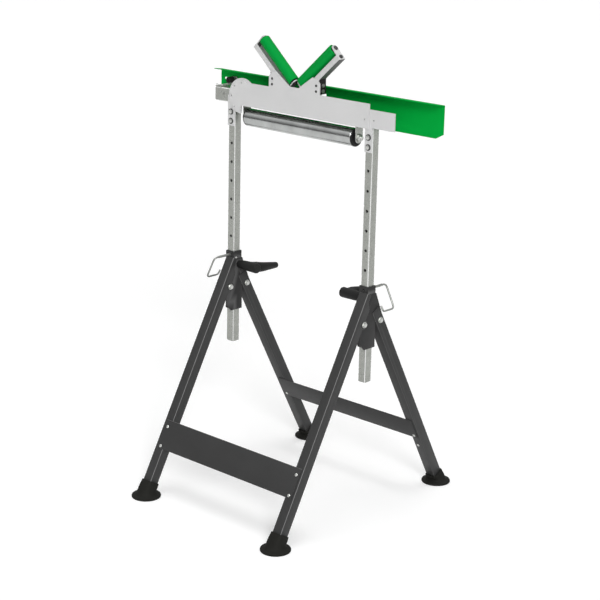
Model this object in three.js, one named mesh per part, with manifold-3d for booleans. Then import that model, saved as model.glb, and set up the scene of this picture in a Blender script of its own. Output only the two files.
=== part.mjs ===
// Roller stand: two folding A-frames, telescoping posts and a cross beam that carries a swinging V of
// rollers, a steel roller below the beam and a sliding rail behind it.
// Millimetres. Origin on the floor under the middle of the overall box, X from post to post, Z up.
// The pieces are placed from the floor point midway between the posts.
import * as THREE from "three";
import { mergeVertices } from "three/addons/utils/BufferGeometryUtils.js";
import Module from "manifold-3d";

// Clearances
const gap = 0.3; // between pieces that touch
const runGap = 0.04; // round a turning or sliding shaft
const slideGap = 0.4; // post in sleeve
const swingGap = 0.5; // between plates that turn past each other
const weld = 0.2; // how far a welded plate sinks in

// Facets of the large round pieces
const roundSides = 36;

// Posts
const postSpacing = 500;
const postSide = 25;
const postWall = 2;
const postLength = 689;
const holePitch = 53.33;
const holesBelowPin = 2;
const holesAbovePin = 6;
const holeRadius = 4.5;

// Sleeves with their pivot plates
const sleeveWall = 2.6;
const sleeveLength = 170;
const pivotPlateThick = 3;
const pivotHeight = 552;
const pivotOut = 33;
const pivotAboveSleeveEnd = 72;
const pinAbovePivot = 88;
const studAbovePivot = 61;
const studBack = 2;

// Legs: steel angle
const leanDegrees = 28.55;
const legWall = 2;
const legWidth = 29;
const legDepth = 30;
const legBend = 3;
const legEndHeight = 19.7;
const lugRadius = 13;
const rearLegTop = 38;
const pivotBoltRadius = 4;
const pivotBoltHead = 7;

// Feet
const footRadius = 41;
const footRim = 7;
const footCone = 28;
const footNeck = 24;
const footHeight = 24;
const footAxisHeight = 10;
const collarWall = 5;
const collarLength = 16;

// Braces between the legs
const braceThick = 1.5;
const braceInset = 7.5;
const frontBraceTop = 412;
const frontBraceHeight = 83;
const frontBraceLip = 12;
const rearBraceTop = 367;
const rearBraceHeight = 69;

// Clamp levers and lock pins
const studRadius = 5;
const leverReach = 62;
const leverHubRadius = 13.5;
const leverNeckRadius = 10.5;
const leverNeckLength = 20;
const leverElbowRadius = 14.5;
const leverLength = 86;
const leverTipRadius = 8.8;
const leverDroop = 4;
const pinRadius = 3.5;
const pinOut = 76;
const wireRadius = 2.5;
const wireDrop = 62;
const wireLean = 27;
const wireBack = 45;
const wireRise = 14;

// Cross beam and brackets
const postTopAbovePin = 432;
const beamHeight = 38;
const beamWall = 2;
const beamLength = 631;
const plateThick = 3;
const swingIn = 43; // swing pivot inwards from the left post
const swingAboveBeamFoot = 21.7;
const discRadius = 52;
const indexRadius = 40;
const indexHole = 2.5;
const discCut = 4; // lower right edge left of the swing pivot
const discDrop = 44; // lower end below the swing pivot
const tabDrop = 63; // tabs below the post tops
const tabBoltDrop = 23.5;
const tabBoltStep = 26;
const tabBoltRadius = 4;
const tabBoltHead = 6.5;
const rightBracketIn = 25; // from the post axis towards the middle
const rightBracketOver = 20; // past the beam end
const rightBracketUp = 27;
const rightBracketDown = 20;
const catchIn = 12;
const catchOut = 16;
const beamHole = 3;
const beamHoleIn = 34;

// V plate, arms and rollers
const swingRadius = 46;
const swingStud = 6;
const plateDown = 23;
const plateUp = 42;
const plateOverPost = 3;
const vCentre = -12;
const vFront = 3.5; // roller axes in front of the post axes
const vAngle = 42;
const valleyHalf = 14.3;
const valleyUp = 64.4;
const earReach = 92;
const earUp = 86;
const valleyRise = 9;
const vRollerLength = 150;
const vRollerRadius = 15;
const vAxle = 4;
const lugGap = 3;
const lugThick = 3;
const lugHalf = 10;
const channelHalf = 12.5;
const channelWall = 2;
const channelFloor = 36;
const channelLip = 21.5;
const armFootInset = 3;
const armFootLong = 34;
const axleHead = 6.5;
const axleHeadThick = 2.5;

// Steel roller below the beam
const rollerRadius = 24.5;
const rollerWall = 2.5;
const rollerEndRoom = 56; // between a roller end and the post axis, on average
const rollerCentre = -8;
const rollerBack = 9;
const rollerDrop = 36;
const rollerAxle = 6;
const capThick = 4.7;
const capInside = 10;
const hangerGap = 4;
const hangerThick = 3;
const hangerHalf = 14;
const hangerFlange = 14;
const axleNut = 10;
const axleNutThick = 6;

// Rail behind the beam with its brackets and knobs
const railThick = 2;
const railHeight = 88;
const railFlange = 30;
const railFlangeRise = 4;
const railLeftLength = 360;
const railRightLength = 438;
const railBack = 56;
const railUp = 38; // rail top above the beam top
const railCutLong = 24;
const railCutHigh = 13;
const railTravel = 30;
const leftKnobOut = 312;
const rightKnobOut = 5;
const knobUp = 13; // knob axis above the beam top
const railBracketHalf = 18;
const railBoltRadius = 3;
const railBoltHead = 6;
const knobRadius = 9;
const knobLength = 18;

// Derived places
const lean = THREE.MathUtils.degToRad(leanDegrees);
const vTurn = THREE.MathUtils.degToRad(vAngle);
const postHalf = postSide / 2;
const postX = postSpacing / 2;
const sleeveInner = postHalf + slideGap;
const sleeveOuter = sleeveInner + sleeveWall;
const sleeveEnd = pivotHeight - pivotAboveSleeveEnd;
const pinHeight = pivotHeight + pinAbovePivot;
const studHeight = pivotHeight + studAbovePivot;
const postTop = pinHeight + postTopAbovePin;
const plateFace = sleeveOuter + pivotPlateThick;
const legRight = plateFace + swingGap + legWall;
const legLeft = legRight - legWidth;
const legEnd = -(pivotHeight - legEndHeight) / Math.cos(lean);
const frontEdge = 1 - legDepth;
const rearEdge = sleeveOuter + 2 * swingGap - pivotOut;
const frontLegTop = Math.sqrt((pinAbovePivot - pinRadius - 1.3) ** 2 - frontEdge ** 2);
const beamFoot = postTop + gap;
const beamTop = beamFoot + beamHeight;
const bracketBack = -postHalf - gap;
const bracketFront = bracketBack - plateThick;
const plateBack = bracketFront - swingGap;
const plateFront = plateBack - plateThick;
const swingX = swingIn - postX;
const swingZ = beamFoot + swingAboveBeamFoot;
const valleyZ = swingZ + valleyUp;
const rollerZ = beamFoot - rollerDrop;
const rollerLength = postSpacing - 2 * rollerEndRoom;
const knobPlaces = [-leftKnobOut, rightKnobOut];
const railTop = beamTop + railUp;
const knobZ = beamTop + knobUp;

const wasm = await Module();
wasm.setup();

// A closed three.js geometry as a solid
function solid(geometry) {
  const bare = geometry.index ? geometry.toNonIndexed() : geometry.clone();
  bare.deleteAttribute("normal");
  bare.deleteAttribute("uv");
  const merged = mergeVertices(bare, 1e-4);
  return new wasm.Manifold(
    new wasm.Mesh({
      numProp: 3,
      vertProperties: new Float32Array(merged.attributes.position.array),
      triVerts: new Uint32Array(merged.index.array),
    }),
  );
}

// A solid back as a three.js geometry
function geometryOf(body) {
  const mesh = body.getMesh();
  const geometry = new THREE.BufferGeometry();
  geometry.setAttribute("position", new THREE.BufferAttribute(new Float32Array(mesh.vertProperties), 3));
  geometry.setIndex(new THREE.BufferAttribute(new Uint32Array(mesh.triVerts), 1));
  geometry.computeVertexNormals();
  return geometry;
}

// A solid moved by a matrix
function moved(body, matrix) {
  return solid(geometryOf(body).applyMatrix4(matrix));
}

// A block between two corners
function box(low, high) {
  const size = high.map((value, i) => value - low[i]);
  const geometry = new THREE.BoxGeometry(...size);
  geometry.translate(...low.map((value, i) => value + size[i] / 2));
  return solid(geometry);
}

// A round bar along an axis; centre holds the other two coordinates in X, Y, Z order
function rod(axis, centre, radius, from, to, sides = 20, endRadius = radius) {
  const geometry = new THREE.CylinderGeometry(endRadius, radius, to - from, sides);
  const middle = (from + to) / 2;
  if (axis === "x") geometry.rotateZ(-Math.PI / 2).translate(middle, centre[0], centre[1]);
  if (axis === "y") geometry.translate(centre[0], middle, centre[1]);
  if (axis === "z") geometry.rotateX(Math.PI / 2).translate(centre[0], centre[1], middle);
  return solid(geometry);
}

// A flat outline pushed along an axis: Y and Z outlines along x, X and Z outlines along y
function prism(shape, axis, from, to) {
  const geometry = new THREE.ExtrudeGeometry(shape, {
    depth: to - from,
    bevelEnabled: false,
    curveSegments: 8,
  });
  geometry.translate(0, 0, axis === "y" ? -to : from);
  const turn = new THREE.Matrix4();
  if (axis === "x") turn.set(0, 0, 1, 0, 1, 0, 0, 0, 0, 1, 0, 0, 0, 0, 0, 1);
  if (axis === "y") turn.set(1, 0, 0, 0, 0, 0, -1, 0, 0, 1, 0, 0, 0, 0, 0, 1);
  return solid(geometry.applyMatrix4(turn));
}

// A closed outline from corner points
function outline(points) {
  return new THREE.Shape(points.map((point) => new THREE.Vector2(...point)));
}

// The radius of a faceted hole whose flats stay clear of a round shaft
function bore(radius, clear = runGap, sides = 20) {
  return (radius + clear) / Math.cos(Math.PI / sides);
}

// A round wire through points, with a ball at each bend
function wire(points, radius, sides = 8) {
  let body = null;
  for (let i = 0; i + 1 < points.length; i += 1) {
    const from = new THREE.Vector3(...points[i]);
    const to = new THREE.Vector3(...points[i + 1]);
    const along = to.clone().sub(from);
    const geometry = new THREE.CylinderGeometry(radius, radius, along.length(), sides);
    const turn = new THREE.Quaternion().setFromUnitVectors(
      new THREE.Vector3(0, 1, 0),
      along.clone().normalize(),
    );
    geometry.applyQuaternion(turn).translate(...from.add(to).multiplyScalar(0.5).toArray());
    body = body ? body.add(solid(geometry)) : solid(geometry);
    if (i > 0) {
      const ball = new THREE.SphereGeometry(radius, sides, 4).translate(...points[i]);
      body = body.add(solid(ball));
    }
  }
  return body;
}

const stand = new THREE.Group();
const pieces = new THREE.Group();
pieces.position.x = (railLeftLength - railRightLength) / 2;
pieces.position.y = -(footPlace(-1) + footPlace(1)) / 2;
stand.add(pieces);
const looks = {
  galvanised: [0xb4b6b0, 0.42, 0.85],
  zinc: [0xc9cac6, 0.35, 0.9],
  anthracite: [0x46484a, 0.55, 0.3],
  lightGrey: [0xcfcfcf, 0.5, 0.15],
  green: [0x0f9a3c, 0.42, 0.0],
  rubber: [0x1a1a18, 0.9, 0.0],
  black: [0x2b2b2b, 0.55, 0.0],
  steel: [0xb9bbba, 0.25, 1.0],
};

// A named piece in the stand
function add(name, body, look, parent = pieces) {
  const [color, roughness, metalness] = looks[look];
  const material = new THREE.MeshStandardMaterial({ color, roughness, metalness });
  const mesh = new THREE.Mesh(geometryOf(body), material);
  mesh.name = name;
  parent.add(mesh);
  return mesh;
}

// Posts: square tubes with a row of pin holes and two tab bolt holes
function post(x) {
  const low = postTop - postLength;
  let body = box([x - postHalf, -postHalf, low], [x + postHalf, postHalf, postTop]);
  const inner = postHalf - postWall;
  body = body.subtract(box([x - inner, -inner, low - 1], [x + inner, inner, postTop + 1]));
  for (let k = -holesBelowPin; k <= holesAbovePin; k += 1) {
    const z = pinHeight + k * holePitch;
    body = body.subtract(rod("y", [x, z], holeRadius, -postHalf - 1, postHalf + 1, 10));
  }
  for (let k = 0; k < 2; k += 1) {
    const z = postTop - tabBoltDrop - k * tabBoltStep;
    body = body.subtract(rod("y", [x, z], bore(tabBoltRadius, gap, 12), -postHalf - 1, 0, 12));
  }
  return body;
}

// Sleeve: square tube with the pivot plate welded to its right face
function sleeve(x, leverSide) {
  const low = sleeveEnd;
  const high = sleeveEnd + sleeveLength;
  const plateShape = outline([
    [-pivotOut - 11, low + 18],
    [-pivotOut + 6, low],
    [sleeveOuter, low],
    [sleeveOuter, pivotHeight + 6],
    [pivotOut + lugRadius, pivotHeight + 6],
    [sleeveOuter, high - 20],
    [-sleeveOuter, high - 20],
    [-pivotOut - 14, pivotHeight + 10],
  ]);
  let body = box([x - sleeveOuter, -sleeveOuter, low], [x + sleeveOuter, sleeveOuter, high]);
  const plateSpan = [x + sleeveOuter - weld, x + plateFace];
  body = body.add(prism(plateShape, "x", ...plateSpan));
  body = body.add(rod("x", [pivotOut, pivotHeight], lugRadius, ...plateSpan, 32));
  body = body.subtract(box([x - sleeveInner, -sleeveInner, low - 1], [x + sleeveInner, sleeveInner, high + 1]));
  for (const y of [-pivotOut, pivotOut]) {
    const hole = rod("x", [y, pivotHeight], bore(pivotBoltRadius, gap), x, x + plateFace + 1);
    body = body.subtract(hole);
  }
  const pinHole = rod("y", [x, pinHeight], bore(pinRadius), -sleeveOuter - 1, sleeveOuter + 1);
  const outer = leverSide > 0 ? plateFace + 1 : sleeveOuter + 1;
  const ends = leverSide > 0 ? [x, x + outer] : [x - outer, x];
  const studHole = rod("x", [studBack, studHeight], bore(studRadius), ...ends);
  return body.subtract(pinHole).subtract(studHole);
}

// Pivot bolt with its nut behind the plate
function pivotBolt(x, y) {
  const at = [y, pivotHeight];
  const nutFace = x + sleeveOuter - weld - gap;
  const headFace = x + legRight + gap;
  const shank = rod("x", at, pivotBoltRadius, nutFace - 6, headFace + 2);
  const nut = rod("x", at, pivotBoltHead, nutFace - 6, nutFace, 6);
  const head = rod("x", at, pivotBoltHead, headFace, headFace + 5, 6);
  return shank.add(nut).add(head);
}

// The angle section of a leg, web across X at the given edge and flange on the right
function legSection(edge, grow, from, to) {
  const left = legLeft - grow;
  const right = legRight + grow;
  const near = edge - grow;
  const far = edge + legDepth + grow;
  const wall = legWall + 2 * grow;
  const bend = legBend + grow;
  const shape = new THREE.Shape();
  shape.moveTo(left, near);
  shape.lineTo(right - bend, near);
  shape.absarc(right - bend, near + bend, bend, -Math.PI / 2, 0, false);
  shape.lineTo(right, far);
  shape.lineTo(right - wall, far);
  shape.lineTo(right - wall, near + wall);
  shape.lineTo(left, near + wall);
  shape.closePath();
  const geometry = new THREE.ExtrudeGeometry(shape, {
    depth: to - from,
    bevelEnabled: false,
    curveSegments: 5,
  });
  return solid(geometry.translate(0, 0, from));
}

// Front leg about its pivot: the web runs up to meet the sleeve and the flange narrows to a finger
function frontLeg() {
  let body = legSection(frontEdge, 0, legEnd, frontLegTop);
  const far = frontEdge + legDepth;
  const middle = frontEdge + legDepth / 2;
  const cut = outline([
    [far + 1, frontLegTop / 2],
    [far + 1, frontLegTop + 1],
    [middle, frontLegTop + 1],
    [middle, frontLegTop - 20],
    [far, frontLegTop / 2],
  ]);
  body = body.subtract(prism(cut, "x", legRight - legWall - 1, legRight + 1));
  body = body.add(rod("x", [0, 0], lugRadius, legRight - legWall, legRight, 32));
  return body.subtract(rod("x", [0, 0], bore(pivotBoltRadius), legLeft, legRight + 1));
}

// Rear leg about its pivot: the web stops below the sleeve stop and the flange runs on
function rearLeg() {
  let body = legSection(rearEdge, 0, legEnd, rearLegTop);
  const webTop = 5;
  const high = [legRight - legWall, rearEdge + legWall + 1, rearLegTop + 1];
  body = body.subtract(box([legLeft - 1, rearEdge - 1, webTop], high));
  return body.subtract(rod("x", [0, 0], bore(pivotBoltRadius), legLeft, legRight + 1));
}

// Where a leg's own frame stands in the stand; side is -1 for the front pair and 1 for the rear pair
function legMatrix(x, side) {
  const turn = new THREE.Matrix4().makeRotationX(side * lean);
  return turn.setPosition(x, side * pivotOut, pivotHeight);
}

// How far a foot's axis stands from the line of the posts
function footPlace(side) {
  const middle = (side < 0 ? frontEdge : rearEdge) + legDepth / 2;
  const down = (footAxisHeight - pivotHeight - side * middle * Math.sin(lean)) / Math.cos(lean);
  return side * pivotOut + middle * Math.cos(lean) - side * down * Math.sin(lean);
}

// Rubber foot: disc and cone with a square collar round the leg end
function foot(x, side) {
  const edge = side < 0 ? frontEdge : rearEdge;
  const y = footPlace(side);
  const profile = [
    [0, 0],
    [footRadius - 2, 0],
    [footRadius, 2],
    [footRadius, footRim - 2],
    [footRadius - 3, footRim],
    [footCone, footRim + 5],
    [footNeck, footHeight],
    [0, footHeight],
  ];
  const points = profile.map((point) => new THREE.Vector2(...point));
  const disc = new THREE.LatheGeometry(points, 28).rotateX(Math.PI / 2);
  let body = solid(disc.translate(x + (legLeft + legRight) / 2, y, 0));
  const low = [legLeft - collarWall, edge - collarWall, legEnd - 4];
  const high = [legRight + collarWall, edge + legDepth + collarWall, legEnd + collarLength];
  const place = legMatrix(x, side);
  body = body.add(moved(box(low, high), place));
  const floor = footRadius * 3;
  body = body.subtract(box([x - floor, y - floor, -floor], [x + floor, y + floor, 0]));
  return body.subtract(moved(legSection(edge, gap, legEnd - gap, legEnd + collarLength + 9), place));
}

// Braces in the leg frames
const braceLeft = -postX + legLeft + braceInset;
const braceRight = postX + legRight - braceInset;

function frontBrace() {
  const near = frontEdge - gap - braceThick;
  const top = -frontBraceTop;
  const low = [braceLeft, near, top - frontBraceHeight];
  let body = box(low, [braceRight, near + braceThick, top]);
  const lipLow = [-postX + legRight + swingGap, near, top - braceThick];
  body = body.add(box(lipLow, [postX + legLeft - swingGap, near + frontBraceLip, top]));
  return body;
}

function rearBrace() {
  const near = rearEdge - gap - braceThick;
  const top = -rearBraceTop;
  return box([braceLeft, near, top - rearBraceHeight], [braceRight, near + braceThick, top]);
}

// Clamp lever: a hub out from the sleeve, an elbow and a handle to the rear
function lever(x, side) {
  const face = x + side * ((side > 0 ? plateFace : sleeveOuter) + swingGap);
  const elbow = face + side * leverReach;
  const neck = face + side * leverNeckLength;
  const at = [studBack, studHeight];
  let body = rod("x", at, leverHubRadius, Math.min(neck, elbow), Math.max(neck, elbow), 16);
  const neckRadii = side > 0 ? [leverNeckRadius, leverHubRadius] : [leverHubRadius, leverNeckRadius];
  const neckEnds = [Math.min(face, neck), Math.max(face, neck)];
  body = body.add(rod("x", at, neckRadii[0], ...neckEnds, 16, neckRadii[1]));
  const ball = new THREE.SphereGeometry(leverElbowRadius, 16, 8);
  body = body.add(solid(ball.translate(elbow, studBack, studHeight)));
  const tipZ = studHeight - leverDroop;
  const tipY = studBack + leverLength;
  const along = new THREE.Vector3(0, leverLength, -leverDroop);
  const bar = new THREE.CylinderGeometry(leverTipRadius, leverElbowRadius - 1, along.length(), 16);
  const turn = new THREE.Quaternion().setFromUnitVectors(
    new THREE.Vector3(0, 1, 0),
    along.clone().normalize(),
  );
  bar.applyQuaternion(turn).translate(elbow, (studBack + tipY) / 2, (studHeight + tipZ) / 2);
  body = body.add(solid(bar));
  const tip = new THREE.SphereGeometry(leverTipRadius, 16, 8);
  body = body.add(solid(tip.translate(elbow, tipY, tipZ)));
  const deep = face + (side * leverReach) / 2;
  const hole = [Math.min(face - side, deep), Math.max(face - side, deep)];
  return body.subtract(rod("x", at, bore(studRadius, gap), ...hole));
}

// Threaded stud of a lever, through the sleeve wall
function leverStud(x, side) {
  const from = x + side * sleeveInner;
  const to = x + side * ((side > 0 ? plateFace : sleeveOuter) + leverReach / 2);
  return rod("x", [studBack, studHeight], studRadius, Math.min(from, to), Math.max(from, to));
}

// Lock pin bent from one bar: the rod lies along Y, the wire handle hangs beside the sleeve
function lockPin(x, side) {
  const tip = side * (postHalf + gap + slideGap);
  const out = side * pinOut;
  const shift = Math.tan(THREE.MathUtils.degToRad(wireLean));
  const low = pinHeight - wireDrop;
  const near = side * (pinOut - wireBack);
  const rodBody = rod("y", [x, pinHeight], pinRadius, Math.min(tip, out), Math.max(tip, out));
  const handle = wire(
    [
      [x, out - side * pinRadius, pinHeight],
      [x, out, pinHeight],
      [x + side * wireDrop * shift, out, low],
      [x + side * wireDrop * shift, near, low],
      [x + side * (wireDrop - wireRise) * shift, near, low + wireRise],
    ],
    wireRadius,
  );
  return rodBody.add(handle);
}

// Cross beam: rectangular tube on the post tops, with a hole for the swing stud
function beam() {
  const half = beamLength / 2;
  let body = box([-half, -postHalf, beamFoot], [half, postHalf, beamTop]);
  const inner = postHalf - beamWall;
  const low = [-half - 1, -inner, beamFoot + beamWall];
  body = body.subtract(box(low, [half + 1, inner, beamTop - beamWall]));
  for (const x of [beamHoleIn - half, half - beamHoleIn]) {
    body = body.subtract(rod("y", [x, swingZ], beamHole, -postHalf - 1, 0, 12));
  }
  return body.subtract(rod("y", [swingX, swingZ], bore(swingStud, runGap, 32), -postHalf - 1, 0, 32));
}

// The tab of a bracket on the front of a post, with two bolt holes
function tab(body, x) {
  const low = [x - postHalf, bracketFront, postTop - tabDrop];
  let joined = body.add(box(low, [x + postHalf, bracketBack, swingZ]));
  for (let k = 0; k < 2; k += 1) {
    const z = postTop - tabBoltDrop - k * tabBoltStep;
    const hole = rod("y", [x, z], bore(tabBoltRadius, gap, 12), bracketFront - 1, 0, 12);
    joined = joined.subtract(hole);
  }
  return joined;
}

// Left bracket: index disc, cut away to the lower right, with its tab
function leftBracket() {
  let body = rod("y", [swingX, swingZ], discRadius, bracketFront, bracketBack, 48);
  const wide = discRadius + 1;
  const cutLow = [swingX - discCut, bracketFront - 1, swingZ - wide];
  body = body.subtract(box(cutLow, [swingX + wide, bracketBack + 1, swingZ - plateDown]));
  const footLow = [swingX - wide, bracketFront - 1, swingZ - wide];
  body = body.subtract(box(footLow, [swingX + wide, bracketBack + 1, swingZ - discDrop]));
  body = tab(body, -postX);
  for (let k = 0; k < 5; k += 1) {
    const turn = ((k + 2) * Math.PI) / 4;
    const at = [swingX + indexRadius * Math.cos(turn), swingZ + indexRadius * Math.sin(turn)];
    if (k < 4) body = body.subtract(rod("y", at, indexHole, bracketFront - 1, bracketBack + 1, 12));
  }
  const stud = bore(swingStud, runGap, 32);
  return body.subtract(rod("y", [swingX, swingZ], stud, bracketFront - 1, bracketBack + 1, 32));
}

// Right bracket: long plate past the beam end, with its tab and a catch hole
function rightBracket() {
  const low = [postX - rightBracketIn, bracketFront, swingZ - rightBracketDown];
  const end = beamLength / 2 + rightBracketOver;
  const body = box(low, [end, bracketBack, swingZ + rightBracketUp]);
  const hole = rod("y", [postX + catchOut, swingZ], indexHole, bracketFront - 1, bracketBack + 1, 12);
  return tab(body, postX).subtract(hole);
}

// Bolt of a bracket tab
function tabBolt(x, k) {
  const at = [x, postTop - tabBoltDrop - k * tabBoltStep];
  const headFace = bracketFront - gap;
  const shank = rod("y", at, tabBoltRadius, headFace - 1, -postHalf + postWall + 5, 16);
  return shank.add(rod("y", at, tabBoltHead, headFace - 4, headFace, 6));
}

// V plate: round left end on the swing stud, long body and two ears for the arms
function vPlate() {
  const right = postX + plateOverPost;
  const low = swingZ - plateDown;
  const high = swingZ + plateUp;
  const ear = (side) => [
    [vCentre + side * 16, high + valleyRise],
    [vCentre + side * (earReach - 26), swingZ + earUp],
    [vCentre + side * (earReach - 10), swingZ + earUp - 4],
    [vCentre + side * earReach, swingZ + earUp - 14],
    [vCentre + side * earReach, high],
  ];
  const shape = outline([
    [swingX, low],
    [right, low],
    [right, high],
    ...ear(1).reverse(),
    ...ear(-1),
    [swingX, high],
  ]);
  let body = prism(shape, "y", plateFront, plateBack);
  const end = rod("y", [swingX, swingZ], swingRadius, plateFront, plateBack, 48);
  const wide = swingRadius + 1;
  const cutLow = [swingX - discCut, plateFront - 1, swingZ - wide];
  body = body.add(end.subtract(box(cutLow, [swingX + wide, plateBack + 1, low])));
  for (let k = 0; k < 4; k += 1) {
    const turn = ((k + 2) * Math.PI) / 4;
    const at = [swingX + indexRadius * Math.cos(turn), swingZ + indexRadius * Math.sin(turn)];
    body = body.subtract(rod("y", at, indexHole, plateFront - 1, plateBack + 1, 12));
  }
  const catchHole = [postX - catchIn, swingZ];
  body = body.subtract(rod("y", catchHole, indexHole, plateFront - 1, plateBack + 1, 12));
  const stud = rod("y", [swingX, swingZ], swingStud, plateBack - 1, -1, 32);
  return body.add(stud);
}

// Nut of the swing stud, inside the beam
function swingNut() {
  const from = beamWall - postHalf + swingGap;
  const nut = rod("y", [swingX, swingZ], swingStud + 3.5, from, from + 5, 6);
  return nut.subtract(rod("y", [swingX, swingZ], bore(swingStud, gap), from - 1, from + 6));
}

// V arm in its own frame: X along the roller, Z away from the channel floor, with a foot behind its ear
function vArm() {
  const from = -lugGap - lugThick;
  const to = vRollerLength + lugGap + lugThick;
  let body = box([from, -channelHalf, -channelFloor], [to, channelHalf, -channelLip]);
  const inner = channelHalf - channelWall;
  const floor = channelWall - channelFloor;
  body = body.subtract(box([from - 1, -inner, floor], [to + 1, inner, 0]));
  for (const start of [from, to - lugThick]) {
    const shape = new THREE.Shape();
    shape.moveTo(-lugHalf, -channelFloor);
    shape.lineTo(lugHalf, -channelFloor);
    shape.absarc(0, 0, lugHalf, 0, Math.PI, false);
    shape.closePath();
    body = body.add(prism(shape, "x", start, start + lugThick));
  }
  const out = earReach - valleyHalf - armFootInset;
  const near = out - armFootLong;
  const under = (x) => x * Math.tan(vTurn) - (channelFloor - channelWall / 2) / Math.cos(vTurn);
  const foot = (shift) => {
    const low = swingZ + plateUp - valleyZ + gap;
    const points = [
      [near - shift, low],
      [out - shift, low],
      [out - shift, under(out - shift)],
      [near - shift, under(near - shift)],
    ];
    return outline(points);
  };
  let hollow = prism(foot(0), "y", -channelHalf, channelHalf);
  hollow = hollow.subtract(prism(foot(channelWall), "y", -inner, inner));
  body = body.add(moved(hollow, new THREE.Matrix4().makeRotationY(vTurn)));
  return body.subtract(rod("x", [0, 0], bore(vAxle, gap), from - 1, to + 1));
}

// Fixed axle of a V roller with a head at each end
function vAxleBar() {
  const from = -lugGap - lugThick - gap;
  const to = vRollerLength - from;
  const shank = rod("x", [0, 0], vAxle, from - 1, to + 1);
  const heads = [
    rod("x", [0, 0], axleHead, from - axleHeadThick, from),
    rod("x", [0, 0], axleHead, to, to + axleHeadThick),
  ];
  return shank.add(heads[0]).add(heads[1]);
}

function vRoller() {
  const body = rod("x", [0, 0], vRollerRadius, 0, vRollerLength, roundSides);
  return body.subtract(rod("x", [0, 0], bore(vAxle), -1, vRollerLength + 1));
}

// Steel roller: tube, end caps, fixed axle, nuts and hangers
const rollerAt = [rollerBack, rollerZ];
const rollerHalf = rollerLength / 2;

function steelRoller() {
  const ends = [rollerCentre - rollerHalf, rollerCentre + rollerHalf];
  const body = rod("x", rollerAt, rollerRadius, ...ends, roundSides);
  return body.subtract(rod("x", rollerAt, rollerRadius - rollerWall, ends[0] - 1, ends[1] + 1, roundSides));
}

function rollerCap(side) {
  const face = rollerCentre + side * (rollerHalf + gap);
  const out = face + side * capThick;
  const deep = face - side * capInside;
  const span = (a, b) => [Math.min(a, b), Math.max(a, b)];
  const spigot = (rollerRadius - rollerWall) * Math.cos(Math.PI / roundSides) - gap;
  let body = rod("x", rollerAt, rollerRadius, ...span(face, out), roundSides);
  body = body.add(rod("x", rollerAt, spigot, ...span(deep, face + side), roundSides));
  return body.subtract(rod("x", rollerAt, bore(rollerAxle), ...span(deep - side, out + side)));
}

const hangerIn = rollerHalf + gap + capThick + hangerGap;

function rollerAxleBar() {
  const half = hangerIn + hangerThick + axleNutThick + 4;
  return rod("x", rollerAt, rollerAxle, rollerCentre - half, rollerCentre + half);
}

function hanger(side) {
  const inner = rollerCentre + side * hangerIn;
  const outer = inner + side * hangerThick;
  const flange = outer + side * hangerFlange;
  const top = beamFoot - gap;
  const shape = new THREE.Shape();
  shape.moveTo(rollerBack - hangerHalf, top);
  shape.lineTo(rollerBack - hangerHalf, rollerZ);
  shape.absarc(rollerBack, rollerZ, hangerHalf, Math.PI, 2 * Math.PI, false);
  shape.lineTo(rollerBack + hangerHalf, top);
  shape.closePath();
  let body = prism(shape, "x", Math.min(inner, outer), Math.max(inner, outer));
  const low = [Math.min(inner, flange), rollerBack - hangerHalf, top - hangerThick];
  body = body.add(box(low, [Math.max(inner, flange), rollerBack + hangerHalf, top]));
  const hole = [Math.min(inner, outer) - 1, Math.max(inner, outer) + 1];
  return body.subtract(rod("x", rollerAt, bore(rollerAxle, gap), ...hole));
}

function axleNutBody(side) {
  const face = rollerCentre + side * (hangerIn + hangerThick + gap);
  const out = face + side * axleNutThick;
  const span = [Math.min(face, out), Math.max(face, out)];
  const nut = rod("x", rollerAt, axleNut, ...span, 6);
  return nut.subtract(rod("x", rollerAt, bore(rollerAxle, gap), span[0] - 1, span[1] + 1));
}

// Rail: angle with its flange to the front and a slot at each knob
function rail() {
  const low = railTop - railHeight;
  const web = outline([
    [-railLeftLength, low],
    [railRightLength - railCutLong, low],
    [railRightLength, low + railCutHigh],
    [railRightLength, railTop],
    [-railLeftLength, railTop],
  ]);
  let body = prism(web, "y", railBack - railThick, railBack);
  const flange = outline([
    [railBack, railTop],
    [railBack - railFlange, railTop + railFlangeRise],
    [railBack - railFlange, railTop + railFlangeRise - railThick],
    [railBack, railTop - railThick],
  ]);
  body = body.add(prism(flange, "x", -railLeftLength, railRightLength));
  const half = railBoltRadius + swingGap;
  for (const x of knobPlaces) {
    const slot = new THREE.Shape();
    slot.moveTo(x - railTravel - 1, knobZ - half);
    slot.lineTo(x + railTravel + 1, knobZ - half);
    slot.absarc(x + railTravel + 1, knobZ, half, -Math.PI / 2, Math.PI / 2, false);
    slot.lineTo(x - railTravel - 1, knobZ + half);
    slot.absarc(x - railTravel - 1, knobZ, half, Math.PI / 2, (3 * Math.PI) / 2, false);
    body = body.subtract(prism(slot, "y", railBack - railThick - 1, railBack + 1));
  }
  return body;
}

const bracketFace = railBack - railThick - gap;

// Rail bracket: foot on the beam top with an upturned plate at the rail
function railBracket(x) {
  const low = [x - railBracketHalf, -postHalf, beamTop + gap];
  const foot = box(low, [x + railBracketHalf, bracketFace, beamTop + gap + plateThick]);
  const wallLow = [x - railBracketHalf, bracketFace - plateThick, beamTop + gap];
  const wall = box(wallLow, [x + railBracketHalf, bracketFace, knobZ + knobRadius]);
  const hole = rod("y", [x, knobZ], bore(railBoltRadius, gap), bracketFace - plateThick - 1, railBack);
  return foot.add(wall).subtract(hole);
}

// Bolt through the rail's slot, its round head behind the web
function railBolt(x) {
  const from = bracketFace - plateThick - gap - knobLength + 4;
  const headFace = railBack + gap;
  const shank = rod("y", [x, knobZ], railBoltRadius, from, headFace + 1);
  return shank.add(rod("y", [x, knobZ], railBoltHead, headFace, headFace + 3.5, 20));
}

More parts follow.
